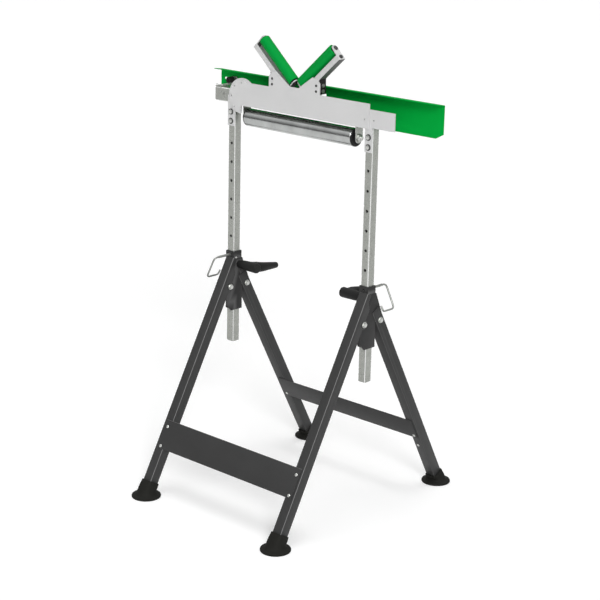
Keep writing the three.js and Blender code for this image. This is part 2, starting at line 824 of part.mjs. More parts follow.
function railKnob(x) {
  const back = bracketFace - plateThick - gap;
  const body = rod("y", [x, knobZ], knobRadius, back - knobLength, back, 16);
  return body.subtract(rod("y", [x, knobZ], bore(railBoltRadius), back - knobLength + 3, back + 1));
}

// The A-frames
const sides = [
  ["left", -postX, 1],
  ["right", postX, -1],
];
for (const [name, x, inward] of sides) {
  add(`${name}_sleeve`, sleeve(x, inward), "anthracite");
  add(`${name}_front_pivot_bolt`, pivotBolt(x, -pivotOut), "zinc");
  add(`${name}_rear_pivot_bolt`, pivotBolt(x, pivotOut), "zinc");
  add(`${name}_clamp_lever`, lever(x, inward), "black");
  add(`${name}_lever_stud`, leverStud(x, inward), "zinc");
  add(`${name}_lock_pin`, lockPin(x, -inward), "zinc");
  add(`${name}_front_foot`, foot(x, -1), "rubber");
  add(`${name}_rear_foot`, foot(x, 1), "rubber");
  add(`${name}_post`, post(x), "galvanised");
  for (const k of [0, 1]) add(`${name}_tab_bolt_${k + 1}`, tabBolt(x, k), "zinc");
}
const frontPair = new THREE.Group();
frontPair.position.set(0, -pivotOut, pivotHeight);
frontPair.rotation.x = -lean;
const rearPair = new THREE.Group();
rearPair.position.set(0, pivotOut, pivotHeight);
rearPair.rotation.x = lean;
pieces.add(frontPair, rearPair);
for (const [name, x] of sides) {
  add(`${name}_front_leg`, frontLeg(), "anthracite", frontPair).position.x = x;
  add(`${name}_rear_leg`, rearLeg(), "anthracite", rearPair).position.x = x;
}
add("front_brace", frontBrace(), "anthracite", frontPair);
add("rear_brace", rearBrace(), "anthracite", rearPair);

// The head
add("cross_beam", beam(), "galvanised");
add("left_bracket", leftBracket(), "lightGrey");
add("right_bracket", rightBracket(), "lightGrey");
add("v_plate", vPlate(), "lightGrey");
add("swing_nut", swingNut(), "zinc");
for (const [name, side] of [["left", -1], ["right", 1]]) {
  const arm = new THREE.Group();
  arm.position.set(vCentre + side * valleyHalf, -vFront, valleyZ);
  arm.rotation.set(0, -vTurn, 0);
  if (side < 0) {
    arm.rotation.set(0, 0, 0);
    arm.quaternion.setFromAxisAngle(new THREE.Vector3(0, 0, 1), Math.PI);
    arm.quaternion.multiply(
      new THREE.Quaternion().setFromAxisAngle(new THREE.Vector3(0, 1, 0), -vTurn),
    );
  }
  pieces.add(arm);
  add(`${name}_v_arm`, vArm(), "lightGrey", arm);
  add(`${name}_v_axle`, vAxleBar(), "zinc", arm);
  add(`${name}_v_roller`, vRoller(), "green", arm);
  add(`${name}_roller_cap`, rollerCap(side), "black");
  add(`${name}_hanger`, hanger(side), "galvanised");
  add(`${name}_axle_nut`, axleNutBody(side), "zinc");
}
add("steel_roller", steelRoller(), "steel");
add("steel_roller_axle", rollerAxleBar(), "zinc");
add("rail", rail(), "green");
knobPlaces.forEach((x, i) => {
  const name = i === 0 ? "left" : "right";
  add(`${name}_rail_bracket`, railBracket(x), "galvanised");
  add(`${name}_rail_bolt`, railBolt(x), "zinc");
  add(`${name}_rail_knob`, railKnob(x), "black");
});

export default stand;
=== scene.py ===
import bpy
import bmesh
import math
from mathutils import Matrix, Vector


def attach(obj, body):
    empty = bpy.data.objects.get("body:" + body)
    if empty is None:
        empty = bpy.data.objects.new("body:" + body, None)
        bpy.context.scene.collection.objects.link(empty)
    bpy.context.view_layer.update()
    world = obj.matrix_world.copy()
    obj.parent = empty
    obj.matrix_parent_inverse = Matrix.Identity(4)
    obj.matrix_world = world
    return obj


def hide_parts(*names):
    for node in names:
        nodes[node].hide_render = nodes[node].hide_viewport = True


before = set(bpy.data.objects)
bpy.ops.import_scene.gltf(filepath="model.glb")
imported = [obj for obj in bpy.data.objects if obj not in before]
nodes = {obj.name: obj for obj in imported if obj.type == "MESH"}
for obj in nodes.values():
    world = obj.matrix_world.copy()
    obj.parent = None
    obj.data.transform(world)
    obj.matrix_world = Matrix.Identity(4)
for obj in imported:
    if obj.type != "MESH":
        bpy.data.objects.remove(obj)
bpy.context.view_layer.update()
print("frame loaded:", len(nodes), "nodes")

# shapes are drawn in mm from the floor point midway between the posts, then moved to the shared origin
home = Vector((-39.0, 8.823, 0.0))
mmPerMetre = 1000.0
right, rear, up = Vector((1, 0, 0)), Vector((0, 1, 0)), Vector((0, 0, 1))
# a side's name, its post's place along X and its way to the middle
sides = (("left", -250.0, 1), ("right", 250.0, -1))
# an end of the head and its way out
ends = (("left", -1), ("right", 1))
legs = {"lean": math.radians(28.55), "pivotY": 33.0, "pivotZ": 552.0}
frontPlace = Matrix.Translation((0, -legs["pivotY"], legs["pivotZ"])) @ Matrix.Rotation(-legs["lean"], 4, "X")
rearPlace = Matrix.Translation((0, legs["pivotY"], legs["pivotZ"])) @ Matrix.Rotation(legs["lean"], 4, "X")

# sockets that share their name with another socket of their node, by number
colorA, colorB, colorOut = 6, 7, 2
floatA, floatB = 2, 3
fromMin, fromMax, toMin, toMax = 1, 2, 3, 4


# colour and node helpers
def hexColor(text):
    def linear(c):
        return c / 12.92 if c <= 0.04045 else ((c + 0.055) / 1.055) ** 2.4
    return tuple(linear(int(text[i:i + 2], 16) / 255) for i in (1, 3, 5)) + (1.0,)


def addNode(tree, kind, settings=None, links=None):
    node = tree.nodes.new(kind)
    for key, value in (settings or {}).items():
        if isinstance(key, str) and hasattr(node, key):
            setattr(node, key, value)
        else:
            node.inputs[key].default_value = value
    for key, source in (links or {}).items():
        tree.links.new(source, node.inputs[key])
    return node


def newMaterial(name, settings):
    material = bpy.data.materials.new(name)
    material.use_nodes = True
    tree = material.node_tree
    shader = tree.nodes["Principled BSDF"]
    for key, value in settings.items():
        shader.inputs[key].default_value = value
    place = addNode(tree, "ShaderNodeTexCoord")
    return material, tree, shader, place.outputs["Object"]


# the last links of a material: its colour, a roughness that follows one pattern and a bump from another
def finishMaterial(tree, shader, tone, gloss, grain):
    tree.links.new(tone.outputs[colorOut], shader.inputs["Base Color"])
    pattern, low, high = gloss
    roughness = addNode(tree, "ShaderNodeMapRange", {toMin: low, toMax: high}, {0: pattern})
    tree.links.new(roughness.outputs[0], shader.inputs["Roughness"])
    pattern, strength, depth = grain
    bump = addNode(tree, "ShaderNodeBump", {"Strength": strength, "Distance": depth}, {"Height": pattern})
    tree.links.new(bump.outputs[0], shader.inputs["Normal"])


# the scale of a pattern from the width of its features in mm
def perMm(size):
    return mmPerMetre / size


# the largest part of a normal: where the painted highlight on a bend starts on paint and on zinc, and where it is
# full
bendHighlightLine = {"paint": 0.9, "zinc": 0.985, "full": 0.72}


# how far a surface turns the corner between two flat faces of a piece that leans about X
def cornerShare(tree, leaning, start):
    place = addNode(tree, "ShaderNodeTexCoord")
    upright = addNode(tree, "ShaderNodeMapping", {"vector_type": "VECTOR", "Rotation": (leaning, 0, 0)},
                      {0: place.outputs["Normal"]})
    size = addNode(tree, "ShaderNodeVectorMath", {"operation": "ABSOLUTE"}, {0: upright.outputs[0]})
    split = addNode(tree, "ShaderNodeSeparateXYZ", links={0: size.outputs[0]})
    larger = addNode(tree, "ShaderNodeMath", {"operation": "MAXIMUM"},
                     {0: split.outputs[0], 1: split.outputs[1]})
    largest = addNode(tree, "ShaderNodeMath", {"operation": "MAXIMUM"},
                      {0: larger.outputs[0], 1: split.outputs[2]})
    share = addNode(tree, "ShaderNodeMapRange", {fromMin: start, fromMax: bendHighlightLine["full"]},
                    {0: largest.outputs[0]})
    return share.outputs[0]


# powder coat on steel: a smooth skin with a slight orange peel, a little uneven in tone, with a painted
# highlight along bends; real peel is about 0.8 mm wide, drawn at 2.5 mm so that it shows
coat = {"cloudMm": 90, "peelMm": 2.5, "smoother": 0.06, "rougher": 0.08, "bump": 0.0002,
        "downShadeFrom": -0.35, "downShadeFull": -0.5}


def powderCoat(name, dark, light, rough, peel, sheen, leaning=0.0, bendHighlight=None, undersideShade=None):
    material, tree, shader, place = newMaterial(name, {"IOR": 1.5, "Metallic": 0.0, "Specular IOR Level": sheen})
    cloud = addNode(tree, "ShaderNodeTexNoise", {"Scale": perMm(coat["cloudMm"]), "Detail": 4.0},
                    {"Vector": place})
    tone = addNode(tree, "ShaderNodeMix", {"data_type": "RGBA", colorA: hexColor(dark), colorB: hexColor(light)},
                   {0: cloud.outputs["Fac"]})
    # bends get a lighter colour: a painted highlight
    if bendHighlight:
        tone = addNode(tree, "ShaderNodeMix", {"data_type": "RGBA", colorB: hexColor(bendHighlight)},
                       {0: cornerShare(tree, leaning, bendHighlightLine["paint"]), colorA: tone.outputs[colorOut]})
    if undersideShade:
        # faces that look down get a darker colour: painted shade
        normal = addNode(tree, "ShaderNodeTexCoord").outputs["Normal"]
        split = addNode(tree, "ShaderNodeSeparateXYZ", links={0: normal})
        under = addNode(tree, "ShaderNodeMapRange", {fromMin: coat["downShadeFrom"], fromMax: coat["downShadeFull"]},
                        {0: split.outputs[2]})
        tone = addNode(tree, "ShaderNodeMix", {"data_type": "RGBA", colorB: hexColor(undersideShade)},
                       {0: under.outputs[0], colorA: tone.outputs[colorOut]})
    skin = addNode(tree, "ShaderNodeTexNoise", {"Scale": perMm(coat["peelMm"]), "Detail": 2.0}, {"Vector": place})
    finishMaterial(tree, shader, tone,
                   (skin.outputs["Fac"], rough - coat["smoother"], rough + coat["rougher"]),
                   (skin.outputs["Fac"], peel, coat["bump"]))
    return material


# the dark coats carry painted highlights on their bends, brightest on the front legs, whose bends face the camera
satin = {"rough": 0.42, "peel": 0.1, "sheen": 0.14}
darkCoat = powderCoat("anthracitePowderCoat", "#2f2f2f", "#373737", **satin, bendHighlight="#5a5a5a")
frontCoat = powderCoat("anthracitePowderCoatFront", "#373737", "#3f3f3f", **satin,
                       leaning=legs["lean"], bendHighlight="#8c8c8c")
rearCoat = powderCoat("anthracitePowderCoatRear", "#373737", "#3f3f3f", **satin,
                      leaning=-legs["lean"], bendHighlight="#5a5a5a")
greyCoat = powderCoat("lightGreyPowderCoat", "#cccccc", "#d6d6d6", rough=0.46, peel=0.08, sheen=0.25)
# the V arms' downward faces carry painted shade
armCoat = powderCoat("silverGreyPowderCoat", "#c6c6c6", "#d0d0d0", rough=0.42, peel=0.08, sheen=0.4,
                     undersideShade="#4a4a4a")
greenCoat = powderCoat("greenPowderCoat", "#009c39", "#02a23d", rough=0.6, peel=0.08, sheen=0.03)

# zinc on steel: crystals a few millimetres wide when dipped, finer when plated, each with its own grey and gloss
zinc = {"cloudMm": 60, "fineMm": 3, "crystalShare": 0.3, "toneFrom": 0.3, "toneTo": 1.1,
        "smoother": 0.03, "rougher": 0.05, "grain": 0.08, "bump": 0.0002}


def galvanisedSteel(name, dark, light, crystal, rough, metal, bright=None):
    material, tree, shader, place = newMaterial(name, {"Metallic": metal})
    cells = addNode(tree, "ShaderNodeTexVoronoi", {"Scale": perMm(crystal), "Randomness": 1.0}, {"Vector": place})
    split = addNode(tree, "ShaderNodeSeparateColor", links={0: cells.outputs["Color"]})
    cloud = addNode(tree, "ShaderNodeTexNoise", {"Scale": perMm(zinc["cloudMm"]), "Detail": 5.0},
                    {"Vector": place})
    blend = addNode(tree, "ShaderNodeMath", {"operation": "MULTIPLY_ADD", 1: zinc["crystalShare"]},
                    {0: split.outputs[0], 2: cloud.outputs["Fac"]})
    share = addNode(tree, "ShaderNodeMapRange", {fromMin: zinc["toneFrom"], fromMax: zinc["toneTo"]},
                    {0: blend.outputs[0]})
    tone = addNode(tree, "ShaderNodeMix", {"data_type": "RGBA", colorA: hexColor(dark), colorB: hexColor(light)},
                   {0: share.outputs[0]})
    # corners along the piece get a lighter colour: a painted highlight
    if bright:
        tone = addNode(tree, "ShaderNodeMix", {"data_type": "RGBA", colorB: hexColor(bright)},
                       {0: cornerShare(tree, 0.0, bendHighlightLine["zinc"]), colorA: tone.outputs[colorOut]})
    fine = addNode(tree, "ShaderNodeTexNoise", {"Scale": perMm(zinc["fineMm"]), "Detail": 3.0}, {"Vector": place})
    finishMaterial(tree, shader, tone,
                   (split.outputs[1], rough - zinc["smoother"], rough + zinc["rougher"]),
                   (fine.outputs["Fac"], zinc["grain"], zinc["bump"]))
    return material


# galvanised pieces carry a white painted highlight along their corners
galvanised = galvanisedSteel("galvanisedSteel", "#989a95", "#a6a8a3", crystal=7.0, rough=0.28, metal=0.75,
                             bright="#ffffff")
zincPlate = galvanisedSteel("brightZincPlate", "#b6b8b4", "#d2d3d0", crystal=1.5, rough=0.3, metal=0.8)
zincWire = galvanisedSteel("dullZincWire", "#8c8e8a", "#a2a4a0", crystal=1.5, rough=0.34, metal=0.7)
darkSteel = galvanisedSteel("blackenedSteel", "#3a3b3a", "#4c4d4b", crystal=2.0, rough=0.38, metal=0.6)

# ground steel tube: fine rings round the roller from grinding, a soft sheen along it;
# real rings are about 0.2 mm apart, drawn at 1.2 mm so that they show
ground = {"ringMm": 1.2, "longMm": 200, "cloudMm": 45, "ringShare": 0.6, "toneFrom": 0.5, "toneTo": 1.1,
          "rough": 0.2, "smoother": 0.05, "rougher": 0.1, "grain": 0.06, "bump": 0.0001}


def groundSteel(name, dark, light):
    material, tree, shader, place = newMaterial(name, {"Metallic": 1.0})
    across, along = perMm(ground["ringMm"]), perMm(ground["longMm"])
    stretch = addNode(tree, "ShaderNodeMapping", {"Scale": (across, along, along)}, {0: place})
    rings = addNode(tree, "ShaderNodeTexNoise", {"Scale": 1.0, "Detail": 3.0}, {"Vector": stretch.outputs[0]})
    cloud = addNode(tree, "ShaderNodeTexNoise", {"Scale": perMm(ground["cloudMm"]), "Detail": 4.0},
                    {"Vector": place})
    blend = addNode(tree, "ShaderNodeMath", {"operation": "MULTIPLY_ADD", 1: ground["ringShare"]},
                    {0: rings.outputs["Fac"], 2: cloud.outputs["Fac"]})
    share = addNode(tree, "ShaderNodeMapRange", {fromMin: ground["toneFrom"], fromMax: ground["toneTo"]},
                    {0: blend.outputs[0]})
    tone = addNode(tree, "ShaderNodeMix", {"data_type": "RGBA", colorA: hexColor(dark), colorB: hexColor(light)},
                   {0: share.outputs[0]})
    finishMaterial(tree, shader, tone,
                   (rings.outputs["Fac"], ground["rough"] - ground["smoother"],
                    ground["rough"] + ground["rougher"]),
                   (rings.outputs["Fac"], ground["grain"], ground["bump"]))
    return material


rollerSteel = groundSteel("groundSteelTube", "#a2a4a3", "#bec0bf")

# moulded plastic or rubber: even colour, a fine grain that breaks the gloss
mould = {"cloudMm": 40, "smoother": 0.07, "rougher": 0.08, "bump": 0.0002}


def moulded(name, dark, light, rough, grainMm, grain, sheen):
    material, tree, shader, place = newMaterial(name, {"IOR": 1.5, "Metallic": 0.0, "Specular IOR Level": sheen})
    cloud = addNode(tree, "ShaderNodeTexNoise", {"Scale": perMm(mould["cloudMm"]), "Detail": 3.0},
                    {"Vector": place})
    tone = addNode(tree, "ShaderNodeMix", {"data_type": "RGBA", colorA: hexColor(dark), colorB: hexColor(light)},
                   {0: cloud.outputs["Fac"]})
    fine = addNode(tree, "ShaderNodeTexNoise", {"Scale": perMm(grainMm), "Detail": 2.0}, {"Vector": place})
    finishMaterial(tree, shader, tone,
                   (fine.outputs["Fac"], rough - mould["smoother"], rough + mould["rougher"]),
                   (fine.outputs["Fac"], grain, mould["bump"]))
    return material


blackNylon = moulded("blackMouldedNylon", "#1d1d1d", "#242424", rough=0.48, grainMm=1.2, grain=0.2, sheen=0.15)
footRubber = moulded("blackMouldedRubber", "#171715", "#1e1e1b", rough=0.72, grainMm=1.5, grain=0.25, sheen=0.15)
greenPvc = moulded("greenPvcSleeve", "#008f38", "#04953d", rough=0.5, grainMm=3.0, grain=0.06, sheen=0.05)
print("materials made:", len(bpy.data.materials))

# piece helpers, all shapes in mm; edges that turn by more than the sharp angle stay sharp
mending = {"merge": 0.005, "flat": math.radians(0.3), "seam": 0.001, "sharp": math.radians(35)}


def finishPiece(name, bm, body, material, replacing=()):
    bmesh.ops.translate(bm, vec=home, verts=bm.verts)
    bmesh.ops.scale(bm, vec=(1 / mmPerMetre,) * 3, verts=bm.verts)
    mesh = bpy.data.meshes.new(name)
    bm.to_mesh(mesh)
    bm.free()
    mesh.polygons.foreach_set("use_smooth", [True] * len(mesh.polygons))
    mesh.set_sharp_from_angle(angle=mending["sharp"])
    mesh.materials.append(material)
    piece = bpy.data.objects.new(name, mesh)
    bpy.context.scene.collection.objects.link(piece)
    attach(piece, body)
    if replacing:
        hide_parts(*replacing)
    return piece


def copyNode(name):
    bm = bmesh.new()
    bm.from_mesh(nodes[name].data)
    bmesh.ops.scale(bm, vec=(mmPerMetre,) * 3, verts=bm.verts)
    bmesh.ops.translate(bm, vec=-home, verts=bm.verts)
    bmesh.ops.remove_doubles(bm, verts=bm.verts, dist=mending["merge"])
    bmesh.ops.dissolve_limit(bm, angle_limit=mending["flat"], verts=bm.verts, edges=bm.edges)
    return bm


def bevelEdges(bm, edges, width, segments):
    bmesh.ops.bevel(bm, geom=edges, offset=width, offset_type="OFFSET", affect="EDGES", segments=segments,
                    profile=0.5, material=-1, clamp_overlap=True)


# outer edges that turn by more than an angle in degrees
def sharpEdges(bm, angle=50, longer=0.0):
    found = []
    for edge in bm.edges:
        if len(edge.link_faces) == 2 and edge.is_convex and edge.calc_length() > longer:
            if edge.calc_face_angle() > math.radians(angle):
                found.append(edge)
    return found


# one shape set into a piece at its place
def setIn(bm, part, matrix):
    bmesh.ops.remove_doubles(part, verts=part.verts, dist=mending["seam"])
    bmesh.ops.transform(part, matrix=matrix, verts=part.verts)
    bmesh.ops.recalc_face_normals(part, faces=part.faces)
    mesh = bpy.data.meshes.new("shape")
    part.to_mesh(mesh)
    part.free()
    bm.from_mesh(mesh)
    bpy.data.meshes.remove(mesh)


# the place of a shape that is drawn along Z and stands at a point along an axis
def facing(axis, centre):
    return Matrix.Translation(centre) @ up.rotation_difference(axis).to_matrix().to_4x4()


# a profile of radius and height pairs turned round an axis through a point
def turned(bm, profile, axis, centre, steps):
    part = bmesh.new()
    verts = [part.verts.new((r, 0, h)) for r, h in profile]
    edges = [part.edges.new(pair) for pair in zip(verts, verts[1:])]
    bmesh.ops.spin(part, geom=verts + edges, cent=(0, 0, 0), axis=(0, 0, 1), angle=2 * math.pi, steps=steps,
                   use_merge=True)
    setIn(bm, part, facing(axis, centre))


# a plain round bar, as a profile
def barProfile(radius, length):
    return [(0, 0), (radius, 0), (radius, length), (0, length)]


# a flat washer, as a profile
def washerProfile(inner, outer, thick):
    return [(inner, 0), (outer, 0), (outer, thick), (inner, thick), (inner, 0)]


# the new corners or faces of an extrusion
def onlyKind(made, kind):
    return [g for g in made["geom"] if isinstance(g, kind)]


# a hexagon head or nut with chamfered corners, standing on a point along an axis
def hexHead(bm, centre, axis, radius, height, chamfer=0.8):
    part = bmesh.new()
    bmesh.ops.create_circle(part, cap_ends=True, segments=6, radius=radius)
    top = onlyKind(bmesh.ops.extrude_face_region(part, geom=list(part.faces)), bmesh.types.BMVert)
    bmesh.ops.translate(part, vec=(0, 0, height), verts=top)
    bevelEdges(part, [e for e in part.edges if all(v in top for v in e.verts)], chamfer, 2)
    setIn(bm, part, facing(axis, centre))


# corners of a path rounded to short arcs, which take less than half of each straight
mostCut = 0.48


def roundedPath(points, radius, steps):
    path = [Vector(points[0])]
    for before, corner, after in zip(points, points[1:], points[2:]):
        before, corner, after = Vector(before), Vector(corner), Vector(after)
        near, far = (before - corner).normalized(), (after - corner).normalized()
        cut = min(radius / math.tan(near.angle(far) / 2), (before - corner).length * mostCut,
                  (after - corner).length * mostCut)
        for i in range(steps + 1):
            t = i / steps
            a, b = corner + near * cut, corner + far * cut
            path.append(a * (1 - t) ** 2 + corner * 2 * t * (1 - t) + b * t ** 2)
    path.append(Vector(points[-1]))
    return path


# a round bar along a path, its radius given at each point
def swept(bm, path, radii, segments):
    part = bmesh.new()
    ring = bmesh.ops.create_circle(part, cap_ends=False, segments=segments, radius=1.0)["verts"]
    spans = [(path[max(i - 1, 0)], path[min(i + 1, len(path) - 1)]) for i in range(len(path))]
    ways = [(b - a).normalized() for a, b in spans]
    heading, spin = up, Matrix.Identity(4)
    places = []
    for point, way, radius in zip(path, ways, radii):
        spin = heading.rotation_difference(way).to_matrix().to_4x4() @ spin
        heading = way
        places.append(Matrix.Translation(point) @ spin @ Matrix.Scale(radius, 4))
    bmesh.ops.transform(part, matrix=places[0], verts=ring)
    first = loop = list(part.edges)
    for before, after in zip(places, places[1:]):
        made = bmesh.ops.extrude_edge_only(part, edges=loop)
        verts = onlyKind(made, bmesh.types.BMVert)
        loop = [e for e in onlyKind(made, bmesh.types.BMEdge) if all(v in verts for v in e.verts)]
        bmesh.ops.transform(part, matrix=after @ before.inverted(), verts=verts)
    bmesh.ops.edgeloop_fill(part, edges=first)
    bmesh.ops.edgeloop_fill(part, edges=loop)
    setIn(bm, part, Matrix.Identity(4))


# square tubes with rounded corners: posts and beam
tubes = {"corner": 2.8, "segments": 5, "turn": 60, "shortest": 20.0, "parallel": 0.999}


def roundTube(name, way):
    bm = copyNode(name)
    corners = [e for e in sharpEdges(bm, tubes["turn"], tubes["shortest"])
               if abs((e.verts[0].co - e.verts[1].co).normalized().dot(way)) > tubes["parallel"]]
    bevelEdges(bm, corners, tubes["corner"], tubes["segments"])
    finishPiece(name + "Tube", bm, "head", galvanised, [name])


roundTube("left_post", up)
roundTube("right_post", up)
roundTube("cross_beam", right)
print("posts and beam made")

# cut and bent sheet: body, material, slot and the width that every edge is eased by
sheets = {
    "left_bracket": ("head", greyCoat, "grey_paint", 0.5),
    "right_bracket": ("head", greyCoat, "grey_paint", 0.5),
    "v_plate": ("v_head", greyCoat, "grey_paint", 0.5),
    "left_hanger": ("head", galvanised, "galvanised", 0.4),
    "right_hanger": ("head", galvanised, "galvanised", 0.4),
    "left_rail_bracket": ("head", galvanised, "galvanised", 0.4),
    "right_rail_bracket": ("head", galvanised, "galvanised", 0.4),
    "front_brace": ("front_legs", frontCoat, "dark_paint", 0.35),
    "rear_brace": ("rear_legs", rearCoat, "dark_paint", 0.35),
    "rail": ("rail_body", greenCoat, "green_paint", 0.4),
    "left_front_leg": ("front_legs", frontCoat, "dark_paint", 0.35),
    "right_front_leg": ("front_legs", frontCoat, "dark_paint", 0.35),
    "left_rear_leg": ("rear_legs", rearCoat, "dark_paint", 0.35),
    "right_rear_leg": ("rear_legs", rearCoat, "dark_paint", 0.35),
    "left_sleeve": ("base", darkCoat, "dark_paint", 0.5),
    "right_sleeve": ("base", darkCoat, "dark_paint", 0.5),
    "left_v_arm": ("v_head", armCoat, "grey_paint", 0.4),
    "right_v_arm": ("v_head", armCoat, "grey_paint", 0.4),
}
beamEnd = -315.3
braceFold = {"shortest": 400.0, "radius": 1.4, "segments": 4}
for name, (body, material, slotName, width) in sheets.items():
    bm = copyNode(name)
    if name == "left_rail_bracket":
        # the foot ends flush with the beam
        bmesh.ops.bisect_plane(bm, geom=bm.verts[:] + bm.edges[:] + bm.faces[:], plane_co=(beamEnd, 0, 0),
                               plane_no=(-1, 0, 0), clear_outer=True)
        bmesh.ops.holes_fill(bm, edges=[e for e in bm.edges if e.is_boundary])
        bmesh.ops.recalc_face_normals(bm, faces=bm.faces)
    if name == "front_brace":
        # the upper long edge is a fold
        longEdges = sharpEdges(bm, longer=braceFold["shortest"])
        fold = max(longEdges, key=lambda e: e.verts[0].co.z + e.verts[1].co.z)
        bevelEdges(bm, [fold], braceFold["radius"], braceFold["segments"])
    bevelEdges(bm, sharpEdges(bm), width, 2)
    piece = finishPiece(name + "Sheet", bm, body, material, [name])
    if slotName == "grey_paint":
        # flat faces stay flat up to their eased edges
        piece.modifiers.new("flatFaces", "WEIGHTED_NORMAL").keep_sharp = True
print("sheet pieces made:", len(sheets))

# rubber feet: a round disc, and a body that flares from the square collar round the leg end down to it
foot = {"centreX": 6.5, "halfX": 19.5, "halfY": 20.0, "round": 0.4, "sides": 64, "collarBase": 19.7}
# each pair: place of its feet along Y, place of its legs, and the middle of the leg across
footPairs = {"front": (-343.83, frontPlace, -14.0), "rear": (326.19, rearPlace, -1.5)}
discProfile = [(0, 0), (38.5, 0), (40.3, 0.5), (41, 1.8), (41, 4.8), (40.3, 6.2), (38.4, 7.0), (36, 7.7),
               (30, 9.4), (0, 9.6)]
legEnd = -(legs["pivotZ"] - foot["collarBase"]) / math.cos(legs["lean"])
# each ring: radius and height of its circle, size and place along the leg of its square, share of the square
footRings = [(35.5, 7.4, 1.0, 0, 0.0), (30.5, 9.6, 1.0, 0, 0.0), (27.6, 12.8, 1.0, 0, 0.12),
             (26.0, 17.0, 1.1, 1.0, 0.5), (25.0, 22.0, 1.05, 5.0, 0.85), (25.0, 24.0, 1.02, 9.0, 1.0),
             (25.0, 24.0, 1.0, 15.0, 1.0), (25.0, 24.0, 0.96, 16.0, 1.0), (25.0, 24.0, 0.84, 16.0, 1.0),
             (25.0, 24.0, 0.8, 14.0, 1.0)]


def footBody(bm, centre, place, middle):
    part = bmesh.new()
    bmesh.ops.create_circle(part, cap_ends=True, segments=foot["sides"], radius=1.0)
    cap = list(part.faces)[0]
    for _ in footRings[1:]:
        made = bmesh.ops.extrude_face_region(part, geom=[cap] + list(cap.edges))
        bmesh.ops.translate(part, vec=(0, 0, 1), verts=onlyKind(made, bmesh.types.BMVert))
        cap = onlyKind(made, bmesh.types.BMFace)[0]
    for v in part.verts:
        radius, height, size, along, share = footRings[round(v.co.z)]
        c, d = v.co.x, v.co.y
        circle = Vector((centre[0] + radius * c, centre[1] + radius * d, height))
        squareX = math.copysign(abs(c) ** foot["round"], c) * foot["halfX"] * size
        squareY = math.copysign(abs(d) ** foot["round"], d) * foot["halfY"] * size
        square = place @ Vector((centre[0] + squareX, middle + squareY, legEnd + along))
        v.co = circle.lerp(square, share)
    setIn(bm, part, Matrix.Identity(4))


for side, x, _ in sides:
    for pair, (y, place, middle) in footPairs.items():
        bm = bmesh.new()
        centre = (x + foot["centreX"], y, 0)
        turned(bm, discProfile, up, centre, 72)
        footBody(bm, centre, place, middle)
        name = side + "_" + pair + "_foot"
        finishPiece(name + "Rubber", bm, pair + "_legs", footRubber, [name])
print("feet made")

# pivot bolts: washer and hexagon head outside the leg, nut behind the plate
pivot = {"shank": 4.0, "shankFrom": 8.8, "shankLength": 14.0, "hole": 4.2, "washer": 8.2, "washerFrom": 21.2,
         "washerThick": 1.1, "head": 7.0, "headFrom": 22.3, "headHeight": 4.0, "nutFrom": 15.0, "nutHeight": 5.6}
for side, x, _ in sides:
    for pair, y in (("front", -legs["pivotY"]), ("rear", legs["pivotY"])):
        bm = bmesh.new()
        centre = Vector((x, y, legs["pivotZ"]))
        turned(bm, barProfile(pivot["shank"], pivot["shankLength"]), right,
               centre + right * pivot["shankFrom"], 24)
        turned(bm, washerProfile(pivot["hole"], pivot["washer"], pivot["washerThick"]), right,
               centre + right * pivot["washerFrom"], 32)
        hexHead(bm, centre + right * pivot["headFrom"], right, pivot["head"], pivot["headHeight"])
        hexHead(bm, centre + right * pivot["nutFrom"], -right, pivot["head"], pivot["nutHeight"])
        name = side + "_" + pair + "_pivot_bolt"
        finishPiece(name + "Zinc", bm, "base", zincPlate, [name])

# tab bolts on the brackets, on dark washers
tabBolt = {"z": (1048.5, 1022.5), "shank": 4.0, "shankFrom": 5.5, "shankLength": 11.0, "hole": 4.2, "washer": 8.4,
           "washerFrom": 15.9, "washerThick": 1.0, "head": 6.2, "headFrom": 16.9, "headHeight": 3.4}
washers = bmesh.new()
for side, x, _ in sides:
    for number, z in enumerate(tabBolt["z"], 1):
        bm = bmesh.new()
        centre = Vector((x, 0, z))
        turned(bm, barProfile(tabBolt["shank"], tabBolt["shankLength"]), -rear,
               centre - rear * tabBolt["shankFrom"], 24)
        turned(washers, washerProfile(tabBolt["hole"], tabBolt["washer"], tabBolt["washerThick"]), -rear,
               centre - rear * tabBolt["washerFrom"], 32)
        hexHead(bm, centre - rear * tabBolt["headFrom"], -rear, tabBolt["head"], tabBolt["headHeight"])
        name = side + "_tab_bolt_" + str(number)
        finishPiece(name + "Zinc", bm, "head", zincPlate, [name])
finishPiece("tabWashers", washers, "head", darkSteel)
print("bolts made")

# steel roller with its caps, axle and closed nuts, whose domes cover the axle ends
roller = {"centre": Vector((-8, 9, 1036.3)), "half": 194.0, "radius": 24.5, "wall": 2.5, "edge": 0.7,
          "capOut": 5.0, "axleHalf": 216, "nutFrom": 206.3, "nut": 10.0, "nutHeight": 5.0, "nutChamfer": 1.2}
outer, inner, length = roller["radius"], roller["radius"] - roller["wall"], 2 * roller["half"]
edge = roller["edge"]
tubeProfile = [(inner, 0), (outer - edge, 0), (outer, edge), (outer, length - edge), (outer - edge, length),
               (inner, length), (inner, 0)]
capProfile = [(6.05, 0), (9.5, 0), (9.5, 1.6), (11.5, 2.2), (18.5, 2.2), (20.0, 1.0), (22.0, 1.0), (23.6, 2.0),
              (24.4, 3.4), (24.4, 4.7), (21.6, 4.7), (21.6, 14.7), (6.05, 14.7), (6.05, 0)]
domeProfile = [(0, 4.0), (8.0, 4.0), (8.0, 5.6), (7.6, 7.2), (6.4, 8.6), (4.4, 9.3), (2.2, 9.6), (0, 9.7)]
rollerAxle = [(0, 0), (5.2, 0), (6, 0.8), (6, 431.2), (5.2, 432), (0, 432)]
bm = bmesh.new()
turned(bm, tubeProfile, right, roller["centre"] - right * roller["half"], 96)
finishPiece("steelRollerTube", bm, "steel_roller_body", rollerSteel, ["steel_roller"])
